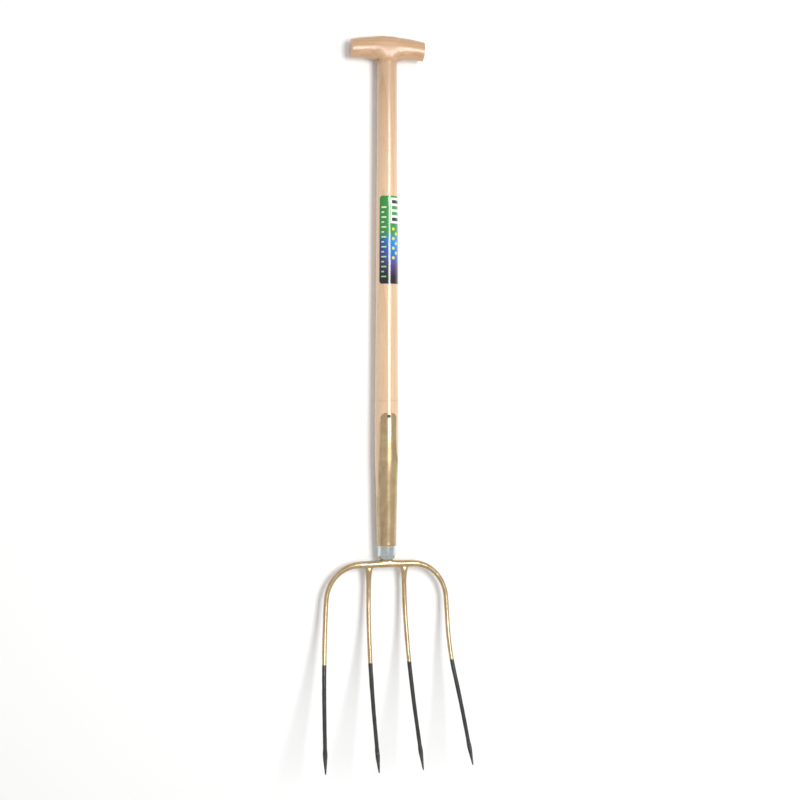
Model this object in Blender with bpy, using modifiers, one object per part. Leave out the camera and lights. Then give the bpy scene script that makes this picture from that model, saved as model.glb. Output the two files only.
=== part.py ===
"""A four-tined manure and hay fork: forged head, strapped socket, ash shaft and wooden T-grip.

Everything is in metres. The fork lies on its back on the ground, Z = 0, with the grip towards +Y and
the tines dishing upwards. The origin is the bottom centre of the whole fork's bounding box.

Each piece is modelled upright about the shaft's own axis: there +Z runs up the shaft, the tine points
are at Z = 0 and the tines dish forward, towards -Y. The pieces are parented to the empty
"shaft_axis", which lays the fork down.
"""

import math

import bmesh
import bpy
from mathutils import Vector

# ---------------------------------------------------------------- driving dimensions

GAP = 0.0003                 # clearance kept between neighbouring pieces
OVERSHOOT = 0.0100           # how far a cutter runs past the face that it cuts through
SIDE_REACH = 0.0500          # half-thickness of the cutters that cross the whole shaft
WELD = 0.00001               # points closer than this are one point

# T-grip: a crosspiece with a crowned top and a short boss underneath
GRIP_LENGTH = 0.1110
GRIP_TOP_Z = 1.0865          # highest point of the crown
GRIP_CROWN = 0.0062          # how far the top falls from the middle to each end
GRIP_UNDER_Z = 1.0522        # underside at the ends
GRIP_UNDER_ARCH = 0.0021     # how far the underside rises towards the middle
GRIP_DEPTH = 0.0290          # front to back, in the middle
GRIP_END_DEPTH = 0.0270      # front to back, at the ends
GRIP_ROUNDNESS = 2.4         # superellipse exponent of the arm's section
GRIP_END_CUT = math.radians(4.0)   # the right end is cut this far off square
BOSS_BOTTOM_Z = 1.0455
BOSS_RADIUS = 0.0148
BOSS_FLARE_REACH = 0.0340    # where the concave flare meets the arm's underside
BOSS_FLARE_HALF_DEPTH = 0.0095
BOSS_FLARE_OVERLAP = 0.0020  # how far the flare's block runs up into the arm

# Shaft: radius along its height, swelling towards the socket and tapering inside it
SHAFT_STATIONS = (
    (BOSS_BOTTOM_Z, 0.01475),
    (0.6900, 0.01675),
    (0.5080, 0.01805),
    (0.4470, 0.01805),
    (0.4170, 0.01690),
    (0.3860, 0.01580),
    (0.3550, 0.01520),
    (0.3172, 0.01420),
)
SHAFT_END_RADIUS = 0.0121    # the turned-down end inside the ferrule
SHAFT_END_Z = 0.3022
TENON_RADIUS = 0.0100
TENON_TOP_Z = 1.0858         # trimmed to the grip's rounded top in front and behind
TENON_TRIM = 0.0003          # how far the trimmed tenon and wedge lie below that top
WEDGE_THICKNESS = 0.0030     # at its top, in line with the grip
WEDGE_POINT = 0.0010         # thickness at its lower edge
WEDGE_WIDTH = 0.0186         # across the grip
WEDGE_BOTTOM_Z = 1.0600

# Socket: a tapered steel tube with one long strap in front and one behind
SOCKET_TOP_Z = 0.5196
SOCKET_BOTTOM_Z = 0.3172
SOCKET_THICKNESS = 0.0015
SOCKET_PROUD = 0.0004        # how far the steel stands out of the wood
STRAP_HALF_WIDTH = 0.0122    # seen from the front, at the strap's top
STRAP_CORNER = 0.0080
STRAP_SHOULDER_Z = 0.4220    # below this the side gaps alone shape the straps
SIDE_GAP_TOP = 0.0134        # half-width of the gap between the straps, seen from the side
SIDE_GAP_LOW = 0.0093
SIDE_GAP_ARCH_Z = 0.4070     # where the gap's round bottom begins
SIDE_GAP_BOTTOM_Z = 0.3906

# Strap nails
NAIL_Z = 0.5148
NAIL_HEAD_RADIUS = 0.0026
NAIL_HEAD_HEIGHT = 0.0009
NAIL_SHANK_RADIUS = 0.0011
NAIL_LENGTH = 0.0120
DRILL_TURN = math.radians(4.0)   # keeps the drill's corners off the turned facets' edges

# Ferrule: a short zinc-plated cap ring between the socket and the head
FERRULE_RADIUS = 0.01375
FERRULE_WALL = 0.00135
FERRULE_CHAMFER_Z = 0.3006
FERRULE_BOTTOM_Z = 0.2960
FERRULE_LIP_RADIUS = 0.0098
FERRULE_EDGE = 0.0006        # small chamfer round the top

# Head: a bar with four round tines, a neck and a tang, forged in one piece
BAR_Z = 0.2880
BAR_RADIUS = 0.0054
BOW_CENTRE = (0.0410, 0.2315)      # X and Z of the ellipse that each outer corner follows
BOW_REACH_X = 0.0937         # where that ellipse points straight down
BOW_FORWARD = 0.0026         # how far the corner has already come forward at its end
BOW_MID_RADIUS = 0.0042
INNER_TINE_X = 0.0275
INNER_ROOT_RADIUS = 0.0060
INNER_LEAN_Z = 0.2615        # where an inner tine starts to lean forward
TINE_TOP_RADIUS = 0.0037
TINE_LOW_RADIUS = 0.0028
POINT_LENGTH = 0.0350
POINT_RADIUS = 0.0011
INNER_LEAN = (0.0, math.radians(33.6))               # forward lean where it starts, and at the point
OUTER_LEAN = (math.radians(5.2), math.radians(31.0))
INNER_SPLAY = math.radians(1.2)      # steady outward slope
OUTER_SPLAY = math.radians(4.1)
NECK_RADIUS = 0.0084
NECK_WEB_REACH = 0.0240
TANG_RADIUS = 0.0050
TANG_TIP_RADIUS = 0.0022
TANG_BOTTOM_Z = 0.3012
TANG_TOP_Z = 0.4210

# Label: a printed film wrapped part of the way round the shaft
LABEL_TOP_Z = 0.8462
LABEL_BOTTOM_Z = 0.7143
LABEL_START = math.radians(-54.0)    # measured round the shaft from its front
LABEL_WRAP = math.radians(220.0)
LABEL_THICKNESS = 0.0003

TURNED_STEPS = 40
TINE_STEP = 0.0110           # spacing of the sections along a tine

# The fork lies on the head of its back nail, which stands out furthest behind the shaft's axis.
LENGTH = 1.0863
BACK_REACH = 0.0196

WOOD_GRIP = ("grip_wood", (0.68, 0.45, 0.27), 0.25, 0.0)
WOOD_SHAFT = ("shaft_wood", (0.76, 0.58, 0.42), 0.35, 0.0)
WOOD_WEDGE = ("wedge_wood", (0.50, 0.31, 0.18), 0.50, 0.0)
GOLD_PAINT = ("gold_paint", (0.47, 0.35, 0.18), 0.32, 0.8)
ZINC_PLATE = ("zinc_plate", (0.50, 0.56, 0.56), 0.30, 1.0)
NAIL_STEEL = ("nail_steel", (0.18, 0.17, 0.15), 0.45, 1.0)
LABEL_FILM = ("label_film", (0.05, 0.20, 0.35), 0.20, 0.0)


# ---------------------------------------------------------------- scene helpers

def clear_scene():
    for obj in list(bpy.data.objects):
        bpy.data.objects.remove(obj)


def new_collection(name):
    collection = bpy.data.collections.new(name)
    bpy.context.scene.collection.children.link(collection)
    return collection


def make_material(name, colour, roughness, metallic):
    material = bpy.data.materials.get(name)
    if material:
        return material
    material = bpy.data.materials.new(name)
    material.use_nodes = True
    shader = material.node_tree.nodes["Principled BSDF"]
    shader.inputs["Base Color"].default_value = (*colour, 1.0)
    shader.inputs["Roughness"].default_value = roughness
    shader.inputs["Metallic"].default_value = metallic
    return material


def add_part(name, data, finish):
    obj = bpy.data.objects.new(name, data)
    PARTS.objects.link(obj)
    obj.parent = AXIS
    data.materials.append(make_material(*finish))
    return obj


def add_cutter(name, data):
    obj = bpy.data.objects.new(name, data)
    CUTTERS.objects.link(obj)
    obj.parent = AXIS
    obj.hide_render = True
    obj.display_type = "WIRE"
    return obj


def apply_boolean(target, other, operation="DIFFERENCE", solver="EXACT"):
    modifier = target.modifiers.new(operation.lower() + "_" + other.name, "BOOLEAN")
    modifier.operation = operation
    modifier.object = other
    modifier.solver = solver


# ---------------------------------------------------------------- shape helpers

def along(stations, z):
    """Radius at height z, straight between the stations, which run from the top down."""
    if z >= stations[0][0]:
        return stations[0][1]
    for (z_high, r_high), (z_low, r_low) in zip(stations, stations[1:]):
        if z >= z_low:
            return r_low + (r_high - r_low) * (z - z_low) / (z_high - z_low)
    return stations[-1][1]


def shaft_radius(z):
    return along(SHAFT_STATIONS, z)


def profile_mesh(name, points, closed=False):
    """A turning profile of (radius, height) points, in the XZ plane."""
    mesh = bpy.data.meshes.new(name)
    edges = [(i, i + 1) for i in range(len(points) - 1)]
    if closed:
        edges.append((len(points) - 1, 0))
    mesh.from_pydata([(r, 0.0, z) for r, z in points], edges, [])
    return mesh


def turn(obj, angle=2 * math.pi, steps=TURNED_STEPS):
    """Revolves the object's profile about its own Z axis."""
    screw = obj.modifiers.new("turned", "SCREW")
    screw.angle = angle
    screw.steps = steps
    screw.render_steps = steps
    screw.use_merge_vertices = True
    screw.merge_threshold = WELD
    screw.use_smooth_shade = True


def outline_curve(name, points, half_thickness):
    """A flat filled outline of (x, y) points, extruded both ways."""
    curve = bpy.data.curves.new(name, "CURVE")
    curve.dimensions = "2D"
    curve.fill_mode = "BOTH"
    curve.extrude = half_thickness
    spline = curve.splines.new("POLY")
    spline.points.add(len(points) - 1)
    for point, (x, y) in zip(spline.points, points):
        point.co = (x, y, 0.0, 1.0)
    spline.use_cyclic_u = True
    return curve


def tube_curve(name, points, radii):
    """A round bar through the points, with its own radius at each."""
    curve = bpy.data.curves.new(name, "CURVE")
    curve.dimensions = "3D"
    curve.bevel_depth = max(radii)
    curve.bevel_resolution = 2
    curve.use_fill_caps = True
    spline = curve.splines.new("POLY")
    spline.points.add(len(points) - 1)
    for point, place, radius in zip(spline.points, points, radii):
        point.co = (*place, 1.0)
        point.radius = radius / max(radii)
    return curve


def as_mesh(obj, name):
    """Replaces a curve object by a welded mesh object in the same place and collection."""
    bpy.context.view_layer.update()
    evaluated = obj.evaluated_get(bpy.context.evaluated_depsgraph_get())
    mesh = bpy.data.meshes.new_from_object(evaluated)
    mesh.name = name
    bm = bmesh.new()
    bm.from_mesh(mesh)
    bmesh.ops.remove_doubles(bm, verts=bm.verts, dist=WELD)
    bmesh.ops.recalc_face_normals(bm, faces=bm.faces)
    bm.to_mesh(mesh)
    bm.free()
    made = bpy.data.objects.new(name, mesh)
    obj.users_collection[0].objects.link(made)
    made.parent = AXIS
    made.matrix_world = obj.matrix_world.copy()
    made.hide_render = obj.hide_render
    made.display_type = obj.display_type
    bpy.data.objects.remove(obj)
    return made


def ellipse_arc(centre, radii, start, end, count):
    """Points on an ellipse from one angle to another, in degrees."""
    angles = [math.radians(start + (end - start) * i / count) for i in range(count + 1)]
    return [(centre[0] + radii[0] * math.cos(a), centre[1] + radii[1] * math.sin(a)) for a in angles]


# ---------------------------------------------------------------- T-grip

def grip_top(x):
    return GRIP_TOP_Z - GRIP_CROWN * (2 * x / GRIP_LENGTH) ** 2


def grip_underside(x):
    return GRIP_UNDER_Z + GRIP_UNDER_ARCH * (1 - (2 * x / GRIP_LENGTH) ** 2)


def grip_arms():
    """The crosspiece: superellipse sections lofted along X between two cut ends."""
    sections, sides = 12, 24
    mesh = bpy.data.meshes.new("t_grip")
    bm = bmesh.new()
    rings = []
    for i in range(sections + 1):
        x = GRIP_LENGTH * (i / sections - 0.5)
        share = abs(2 * x / GRIP_LENGTH)
        half_depth = (GRIP_DEPTH + (GRIP_END_DEPTH - GRIP_DEPTH) * share) / 2
        half_height = (grip_top(x) - grip_underside(x)) / 2
        middle = (grip_top(x) + grip_underside(x)) / 2
        ring = []
        for k in range(sides):
            angle = 2 * math.pi * k / sides
            c, s = math.cos(angle), math.sin(angle)
            y = half_depth * math.copysign(abs(c) ** (2 / GRIP_ROUNDNESS), c)
            dz = half_height * math.copysign(abs(s) ** (2 / GRIP_ROUNDNESS), s)
            slant = dz * math.tan(GRIP_END_CUT) if i == sections else 0.0
            ring.append(bm.verts.new((x + slant, y, middle + dz)))
        rings.append(ring)
    for near, far in zip(rings, rings[1:]):
        for k in range(sides):
            m = (k + 1) % sides
            bm.faces.new((near[k], near[m], far[m], far[k]))
    bm.faces.new(rings[0])
    bm.faces.new(rings[-1])
    bmesh.ops.recalc_face_normals(bm, faces=bm.faces)
    bm.to_mesh(mesh)
    bm.free()
    return mesh


def grip_flare_outline():
    """The two concave flares between the boss and the arms, seen from the front."""
    low, arm = BOSS_BOTTOM_Z + 0.0010, grip_underside(BOSS_FLARE_REACH)
    high = arm + BOSS_FLARE_OVERLAP
    radii = (BOSS_FLARE_REACH - BOSS_RADIUS + 0.0006, arm - low)
    right = ellipse_arc((BOSS_FLARE_REACH, low), radii, 180, 90, 6)
    left = [(-x, z) for x, z in reversed(right)]
    return right + [(BOSS_FLARE_REACH, high), (-BOSS_FLARE_REACH, high)] + left


def build_grip():
    grip = add_part("t_grip", grip_arms(), WOOD_GRIP)
    middle_z = (GRIP_TOP_Z + GRIP_UNDER_Z) / 2
    boss = add_cutter("grip_boss", profile_mesh("grip_boss", [
        (0.0, middle_z),
        (BOSS_RADIUS - 0.0010, middle_z),
        (BOSS_RADIUS, BOSS_BOTTOM_Z + 0.0040),
        (BOSS_RADIUS, BOSS_BOTTOM_Z),
        (0.0, BOSS_BOTTOM_Z),
    ]))
    turn(boss, steps=32)
    flare = add_cutter("grip_flare", outline_curve("grip_flare", grip_flare_outline(),
                                                   BOSS_FLARE_HALF_DEPTH))
    flare.rotation_euler = (math.pi / 2, 0.0, 0.0)
    flare = as_mesh(flare, "grip_flare_solid")
    bore = add_cutter("grip_bore", profile_mesh("grip_bore", [
        (0.0, GRIP_TOP_Z + OVERSHOOT),
        (TENON_RADIUS + GAP, GRIP_TOP_Z + OVERSHOOT),
        (TENON_RADIUS + GAP, BOSS_BOTTOM_Z - OVERSHOOT),
        (0.0, BOSS_BOTTOM_Z - OVERSHOOT),
    ]))
    turn(bore, steps=24)
    apply_boolean(grip, boss, "UNION")
    apply_boolean(grip, flare, "UNION")
    apply_boolean(grip, bore)


def tenon_trim():
    """All that lies above the grip's rounded top, seen along the grip, for trimming the tenon."""
    reach, count = TENON_RADIUS + 0.0020, 12
    half_depth, half_height = GRIP_DEPTH / 2, (grip_top(0) - grip_underside(0)) / 2
    middle = (grip_top(0) + grip_underside(0)) / 2 - TENON_TRIM
    curve = []
    for i in range(count + 1):
        y = reach * (2 * i / count - 1)
        share = (1 - abs(y / half_depth) ** GRIP_ROUNDNESS) ** (1 / GRIP_ROUNDNESS)
        curve.append((y, middle + half_height * share))
    high = GRIP_TOP_Z + OVERSHOOT
    block = add_cutter("tenon_trim", outline_curve("tenon_trim", curve + [(reach, high), (-reach, high)],
                                                   2 * TENON_RADIUS))
    block.rotation_euler = (math.pi / 2, 0.0, math.pi / 2)
    return as_mesh(block, "tenon_trim_solid")


def wedge_mesh(name, clearance):
    """A tapered tongue, driven down into the tenon across the grip."""
    mesh = bpy.data.meshes.new(name)
    bm = bmesh.new()
    bmesh.ops.create_cube(bm, size=1.0)
    top = TENON_TOP_Z + 5 * clearance
    bottom = WEDGE_BOTTOM_Z - clearance
    for vert in bm.verts:
        upper = vert.co.z > 0
        thickness = (WEDGE_THICKNESS if upper else WEDGE_POINT) + 2 * clearance
        width = WEDGE_WIDTH if clearance == 0 else 2.4 * TENON_RADIUS
        vert.co = (vert.co.x * thickness, vert.co.y * width, top if upper else bottom)
    bm.to_mesh(mesh)
    bm.free()
    return mesh


def build_wedge(trim):
    wedge = add_part("grip_wedge", wedge_mesh("grip_wedge", 0.0), WOOD_WEDGE)
    apply_boolean(wedge, trim)


# ---------------------------------------------------------------- socket

def side_gap_outline(margin):
    """The open-topped gap between the straps, seen from the side, narrowed by a margin."""
    arch = ellipse_arc(
        (0.0, SIDE_GAP_ARCH_Z),
        (SIDE_GAP_LOW - margin, SIDE_GAP_ARCH_Z - SIDE_GAP_BOTTOM_Z - margin),
        0, -180, 12)
    top = SOCKET_TOP_Z + OVERSHOOT
    return [(SIDE_GAP_TOP - margin, top)] + arch + [(-SIDE_GAP_TOP + margin, top)]


def strap_front_outline(margin):
    """What the straps fill when seen from the front: square below, round corners on top."""
    half, corner = STRAP_HALF_WIDTH + margin, STRAP_CORNER
    wide = 2 * SHAFT_STATIONS[2][1]
    top = SOCKET_TOP_Z + margin
    right = ellipse_arc((half - corner, top - corner), (corner, corner), 0, 90, 5)
    left = [(-x, z) for x, z in reversed(right)]
    low = SOCKET_BOTTOM_Z - OVERSHOOT
    return [(wide, low), (wide, STRAP_SHOULDER_Z)] + right + left + [(-wide, STRAP_SHOULDER_Z), (-wide, low)]


def socket_shell(name, inner, outer, bottom_z, top_z):
    """A closed tapering tube that follows the shaft, from one offset of its surface to another."""
    levels = [top_z] + [z for z, _ in SHAFT_STATIONS[2:-1]] + [bottom_z]
    outside = [(shaft_radius(z) + outer, z) for z in levels]
    inside = [(shaft_radius(z) + inner, z) for z in reversed(levels)]
    return profile_mesh(name, outside + inside, closed=True)


def trim_straps(obj, margin):
    """Cuts the side gaps and the rounded strap ends out of a tube."""
    gap = add_cutter(obj.name + "_side_gap",
                     outline_curve(obj.name + "_side_gap", side_gap_outline(margin), SIDE_REACH))
    gap.rotation_euler = (math.pi / 2, 0.0, math.pi / 2)
    gap = as_mesh(gap, obj.name + "_side_gap_solid")
    front = add_cutter(obj.name + "_front",
                       outline_curve(obj.name + "_front", strap_front_outline(margin), SIDE_REACH))
    front.rotation_euler = (math.pi / 2, 0.0, 0.0)
    front = as_mesh(front, obj.name + "_front_solid")
    apply_boolean(obj, gap)
    apply_boolean(obj, front, "INTERSECT")


def nail_drill():
    """One long drill through both straps and the shaft, at the nails' height."""
    bpy.ops.mesh.primitive_cylinder_add(vertices=14, radius=NAIL_SHANK_RADIUS + GAP, depth=SIDE_REACH)
    drill = bpy.context.object
    drill.name = "nail_drill"
    for owner in list(drill.users_collection):
        owner.objects.unlink(drill)
    CUTTERS.objects.link(drill)
    drill.parent = AXIS
    drill.location = (0.0, 0.0, NAIL_Z)
    drill.rotation_euler = (math.pi / 2, DRILL_TURN, 0.0)
    drill.hide_render = True
    drill.display_type = "WIRE"
    return drill


def build_socket(drill):
    inner = SOCKET_PROUD - SOCKET_THICKNESS
    socket = add_part("strap_socket", socket_shell("strap_socket", inner, SOCKET_PROUD,
                                                   SOCKET_BOTTOM_Z, SOCKET_TOP_Z), GOLD_PAINT)
    turn(socket)
    apply_boolean(socket, drill)
    trim_straps(socket, 0.0)


def nail_mesh(name):
    """A nail along its own Z: a low domed head above the origin and a tapered shank below it."""
    dome = ellipse_arc((0.0, 0.0002), (NAIL_HEAD_RADIUS, NAIL_HEAD_HEIGHT - 0.0002), 90, 0, 3)
    dome[0] = (0.0, NAIL_HEAD_HEIGHT)
    shank = [
        (NAIL_HEAD_RADIUS, 0.0),
        (NAIL_SHANK_RADIUS, 0.0),
        (NAIL_SHANK_RADIUS * 0.8, -NAIL_LENGTH * 0.8),
        (0.0, -NAIL_LENGTH),
    ]
    return profile_mesh(name, dome + shank)


def build_nails():
    """Nails through the top of each strap, one from the front and one from the back."""
    seat = shaft_radius(NAIL_Z) + SOCKET_PROUD + GAP
    for name, side in (("front_strap_nail", -1), ("back_strap_nail", 1)):
        nail = add_part(name, nail_mesh(name), NAIL_STEEL)
        turn(nail, steps=12)
        nail.location = (0.0, side * seat, NAIL_Z)
        nail.rotation_euler = (-side * math.pi / 2, 0.0, 0.0)


# ---------------------------------------------------------------- shaft, ferrule, label

def build_shaft(drill, trim):
    """The wooden shaft: tenon above, swelling body, turned-down end, and a bore for the tang."""
    bore_bottom = TANG_RADIUS + GAP
    bore_top = TANG_TIP_RADIUS + GAP
    profile = [(0.0, TENON_TOP_Z), (TENON_RADIUS, TENON_TOP_Z), (TENON_RADIUS, BOSS_BOTTOM_Z - GAP)]
    profile += [(r, min(z, BOSS_BOTTOM_Z - GAP)) for z, r in SHAFT_STATIONS]
    profile += [
        (SHAFT_END_RADIUS, SOCKET_BOTTOM_Z - 0.0002),
        (SHAFT_END_RADIUS, SHAFT_END_Z),
        (bore_bottom, SHAFT_END_Z),
        (bore_top, TANG_TOP_Z + GAP),
        (0.0, TANG_TOP_Z + 2 * GAP),
    ]
    shaft = add_part("shaft", profile_mesh("shaft", profile), WOOD_SHAFT)
    turn(shaft)
    recess = add_cutter("socket_recess", socket_shell(
        "socket_recess", SOCKET_PROUD - SOCKET_THICKNESS - GAP, 0.0040,
        SOCKET_BOTTOM_Z - GAP, SOCKET_TOP_Z + 0.0050))
    turn(recess)
    trim_straps(recess, GAP)
    kerf = add_cutter("wedge_kerf", wedge_mesh("wedge_kerf", GAP))
    apply_boolean(shaft, trim)
    apply_boolean(shaft, kerf)
    apply_boolean(shaft, drill)
    apply_boolean(shaft, recess, solver="MANIFOLD")


def build_ferrule():
    top = SOCKET_BOTTOM_Z - GAP
    inner = FERRULE_RADIUS - FERRULE_WALL
    hole = NECK_RADIUS + GAP
    floor = FERRULE_BOTTOM_Z + FERRULE_WALL
    profile = [
        (FERRULE_RADIUS - FERRULE_EDGE, top),
        (FERRULE_RADIUS, top - FERRULE_EDGE),
        (FERRULE_RADIUS, FERRULE_CHAMFER_Z),
        (FERRULE_LIP_RADIUS + 0.0022, FERRULE_BOTTOM_Z + 0.0012),
        (FERRULE_LIP_RADIUS, FERRULE_BOTTOM_Z),
        (hole, FERRULE_BOTTOM_Z),
        (hole, floor),
        (inner - 0.0010, floor + 0.0018),
        (inner, FERRULE_CHAMFER_Z + 0.0010),
        (inner, top),
    ]
    ferrule = add_part("ferrule", profile_mesh("ferrule", profile, closed=True), ZINC_PLATE)
    turn(ferrule, steps=32)


def build_label():
    """A thin film, an open strip turned part of the way round and thickened outwards."""
    levels = (LABEL_TOP_Z, (LABEL_TOP_Z + LABEL_BOTTOM_Z) / 2, LABEL_BOTTOM_Z)
    strip = [(shaft_radius(z) + GAP, z) for z in levels]
    label = add_part("shaft_label", profile_mesh("shaft_label", strip), LABEL_FILM)
    turn(label, angle=LABEL_WRAP, steps=24)
    label.rotation_euler = (0.0, 0.0, LABEL_START - math.pi / 2)
    film = label.modifiers.new("film", "SOLIDIFY")
    film.thickness = LABEL_THICKNESS
    film.offset = 1.0


# ---------------------------------------------------------------- forged head

def lean_path(start, lean, splay):
    """Runs down from start, leaning ever further forward, until its blunt point rests at Z = 0."""
    def walk(length):
        count = max(2, round(length / TINE_STEP))
        step = length / count
        place = Vector(start)
        places = [place.copy()]
        for i in range(count):
            share = (i + 0.5) / count
            angle = lean[0] + (lean[1] - lean[0]) * (1 - (1 - share) ** 2)
            drop = math.cos(angle) * step
            place = place + Vector((math.tan(splay) * drop, -math.sin(angle) * step, -drop))
            places.append(place)
        return places

    rest_z = POINT_RADIUS * math.sin(lean[1])
    short, long = start[2], 1.5 * start[2]
    for _ in range(30):
        middle = (short + long) / 2
        if walk(middle)[-1].z > rest_z:
            short = middle
        else:
            long = middle
    return walk(long)


def tine_radii(places):
    """Slender taper along the tine and a long point at its end."""
    total = sum((b - a).length for a, b in zip(places, places[1:]))
    radii, travelled = [], 0.0
    for i, place in enumerate(places):
        if i:
            travelled += (place - places[i - 1]).length
        radius = TINE_TOP_RADIUS + (TINE_LOW_RADIUS - TINE_TOP_RADIUS) * travelled / total
        left = total - travelled
        if left < POINT_LENGTH:
            radius = POINT_RADIUS + (radius - POINT_RADIUS) * left / POINT_LENGTH
        radii.append(radius)
    return radii


def outer_half():
    """Centre line and radii from the middle of the bar to the right outer tine's point."""
    centre_x, centre_z = BOW_CENTRE
    bend = ellipse_arc(BOW_CENTRE, (BOW_REACH_X - centre_x, BAR_Z - centre_z),
                       90, math.degrees(OUTER_SPLAY), 9)
    height = BAR_Z - bend[-1][1]
    bend = [Vector((x, -BOW_FORWARD * ((BAR_Z - z) / height) ** 2, z)) for x, z in bend]
    bar = [Vector((0.0, 0.0, BAR_Z)), Vector((centre_x / 2, 0.0, BAR_Z))]
    bow = bend[:-1]
    tine = lean_path(bend[-1], OUTER_LEAN, OUTER_SPLAY)
    bow_radii = []
    for i in range(len(bow)):
        share = i / len(bow)
        quick = min(1.0, share * 2.5)
        swell = BAR_RADIUS + (BOW_MID_RADIUS - BAR_RADIUS) * quick
        bow_radii.append(swell + (TINE_TOP_RADIUS - BOW_MID_RADIUS) * share)
    return bar + bow + tine, [BAR_RADIUS] * 2 + bow_radii + tine_radii(tine)


def inner_tine(side):
    """Centre line and radii of an inner tine, thick at its root in the bar."""
    root = [Vector((INNER_TINE_X, 0.0, z)) for z in (BAR_Z, BAR_Z - 0.0070, BAR_Z - 0.0160)]
    tine = lean_path((INNER_TINE_X, 0.0, INNER_LEAN_Z), INNER_LEAN, INNER_SPLAY)
    radii = [BAR_RADIUS * 0.9, INNER_ROOT_RADIUS, TINE_TOP_RADIUS * 1.2] + tine_radii(tine)
    places = [Vector((side * p.x, p.y, p.z)) for p in root + tine]
    return places, radii


def neck_profile():
    """Tang, shoulder and neck, turned about the shaft's axis, down into the bar."""
    return [
        (0.0, TANG_TOP_Z),
        (TANG_TIP_RADIUS, TANG_TOP_Z - 0.0010),
        (TANG_RADIUS, TANG_BOTTOM_Z),
        (NECK_RADIUS, TANG_BOTTOM_Z),
        (NECK_RADIUS, BAR_Z + 0.0050),
        (NECK_RADIUS * 0.85, BAR_Z + 0.0010),
        (BAR_RADIUS * 0.9, BAR_Z - 0.0035),
        (0.0, BAR_Z - 0.0035),
    ]


def neck_web_outline():
    """The concave flares from the neck out along the top of the bar, seen from the front."""
    top = FERRULE_BOTTOM_Z - GAP
    low = BAR_Z + BAR_RADIUS * 0.6
    right = ellipse_arc((NECK_WEB_REACH, top), (NECK_WEB_REACH - NECK_RADIUS, top - low),
                        180, 270, 6)
    left = [(-x, z) for x, z in reversed(right)]
    return right + [(NECK_WEB_REACH, BAR_Z), (-NECK_WEB_REACH, BAR_Z)] + left


def build_head():
    places, radii = outer_half()
    mirrored = [Vector((-p.x, p.y, p.z)) for p in reversed(places[1:])]
    bow = add_part("fork_head_bow", tube_curve("fork_head_bow", mirrored + places,
                                               list(reversed(radii[1:])) + radii), GOLD_PAINT)
    head = as_mesh(bow, "fork_head")
    for name, side in (("left_inner_tine", -1), ("right_inner_tine", 1)):
        tine = add_cutter(name, tube_curve(name, *inner_tine(side)))
        apply_boolean(head, as_mesh(tine, name + "_solid"), "UNION")
    web = add_cutter("neck_web", outline_curve("neck_web", neck_web_outline(), BAR_RADIUS * 0.8))
    web.rotation_euler = (math.pi / 2, 0.0, 0.0)
    apply_boolean(head, as_mesh(web, "neck_web_solid"), "UNION")
    neck = add_cutter("neck_and_tang", profile_mesh("neck_and_tang", neck_profile()))
    turn(neck, steps=24)
    apply_boolean(head, neck, "UNION")


# ---------------------------------------------------------------- build

clear_scene()
PARTS = new_collection("manure_fork")
CUTTERS = new_collection("cutters")
AXIS = bpy.data.objects.new("shaft_axis", None)
PARTS.objects.link(AXIS)
AXIS.location = (0.0, -LENGTH / 2, BACK_REACH)
AXIS.rotation_euler = (-math.pi / 2, 0.0, 0.0)

DRILL = nail_drill()
TRIM = tenon_trim()
build_grip()
build_wedge(TRIM)
build_shaft(DRILL, TRIM)
build_socket(DRILL)
build_nails()
build_ferrule()
build_head()
build_label()
bpy.context.view_layer.update()
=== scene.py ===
import math

import bmesh
import bpy
import numpy as np
from mathutils import Matrix, Vector, noise


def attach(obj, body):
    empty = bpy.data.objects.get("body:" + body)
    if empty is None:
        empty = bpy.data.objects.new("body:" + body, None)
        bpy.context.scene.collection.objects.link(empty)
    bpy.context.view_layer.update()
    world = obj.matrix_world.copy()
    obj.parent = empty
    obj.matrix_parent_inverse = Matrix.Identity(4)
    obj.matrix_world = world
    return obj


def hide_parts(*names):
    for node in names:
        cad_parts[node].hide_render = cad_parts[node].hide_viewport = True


# Looks for the four-tine manure fork, lying on its back on a pale floor and seen from above.
# The shapes are written upright about the shaft's own axis, in metres: +Z up the shaft from the tine
# points at Z = 0, and the tines dishing towards -Y. LAY turns each piece into the frame's pose.

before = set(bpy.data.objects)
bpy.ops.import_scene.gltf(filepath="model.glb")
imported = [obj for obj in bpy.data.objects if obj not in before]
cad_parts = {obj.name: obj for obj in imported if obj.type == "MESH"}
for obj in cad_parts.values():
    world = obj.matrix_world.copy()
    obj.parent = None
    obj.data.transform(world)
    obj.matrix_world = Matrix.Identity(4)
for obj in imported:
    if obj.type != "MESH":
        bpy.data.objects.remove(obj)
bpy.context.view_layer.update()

LENGTH = 1.0863
BACK_REACH = 0.0196
LAY = Matrix.Translation((0.0, -LENGTH / 2, BACK_REACH)) @ Matrix.Rotation(-math.pi / 2, 4, "X")

# T-grip
GRIP_HALF = 0.0555
GRIP_TOP_Z = 1.0865
GRIP_CROWN = 0.0062
GRIP_UNDER_Z = 1.0522
GRIP_UNDER_ARCH = 0.0021
GRIP_HALF_DEPTH = 0.0145
GRIP_END_HALF_DEPTH = 0.0135
GRIP_END_CUT = math.radians(4.0)
GRIP_END_CUT_FROM = 0.0540   # the slanting cut moves the rings beyond this
GRIP_ROUNDNESS = 2.05        # 2 is an ellipse, more is squarer
GRIP_WAVE = 0.00042
GRIP_STATIONS = (0.0, 0.0125, 0.0185, 0.0240, 0.0300, 0.0370, 0.0450, 0.0520, 0.0547, GRIP_HALF)
BOSS_RADIUS = 0.0148
BOSS_BOTTOM_Z = 1.0455
BOSS_JOIN_X = 0.0150         # the arm's rings nearer the middle than this meet the boss
BOSS_JOIN_Z = BOSS_BOTTOM_Z + 0.0062
BOSS_JOIN_ROUNDNESS = 3.2
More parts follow.
